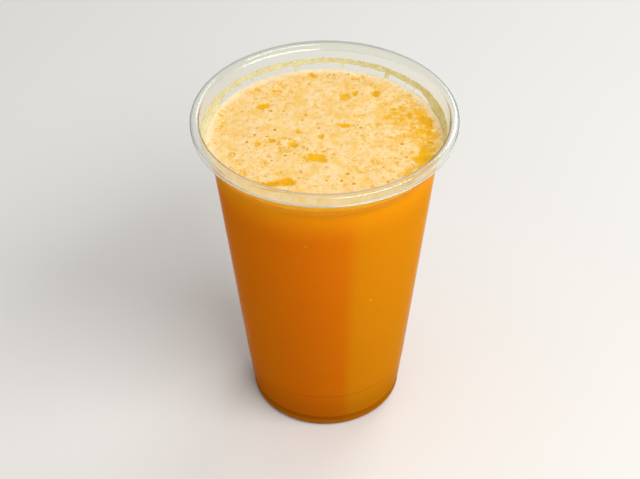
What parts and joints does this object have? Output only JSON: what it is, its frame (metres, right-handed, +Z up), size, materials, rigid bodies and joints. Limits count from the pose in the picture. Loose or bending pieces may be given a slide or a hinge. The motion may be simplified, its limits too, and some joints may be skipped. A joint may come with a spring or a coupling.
{
  "type": "cup of orange juice",
  "caption": "Clear plastic cup with a rolled rim, a shoulder and a foot ring, full of orange juice under a thin uneven head of pale foam.",
  "frame": {"origin": "centre of the circle that the foot ring stands on", "axes": "+Z up along the cup's axis; the picture looks from -Y, down at the mouth"},
  "size_m": [0.095, 0.095, 0.128],
  "materials": {
    "cup_clear": "clear, glossy, thin moulded plastic",
    "juice": "cloudy orange drink seen through the wall, glossy",
    "foam": "pale cream foam with amber thin places and small bubbles, soft sheen",
    "foam_residue": "thin dried foam, half see-through, matte"
  },
  "bodies": {
    "root": {"cup": "cup_clear", "juice": "juice", "foam_head": "foam", "foam_tide_ring": "foam_residue"}
  },
  "joints": []
}
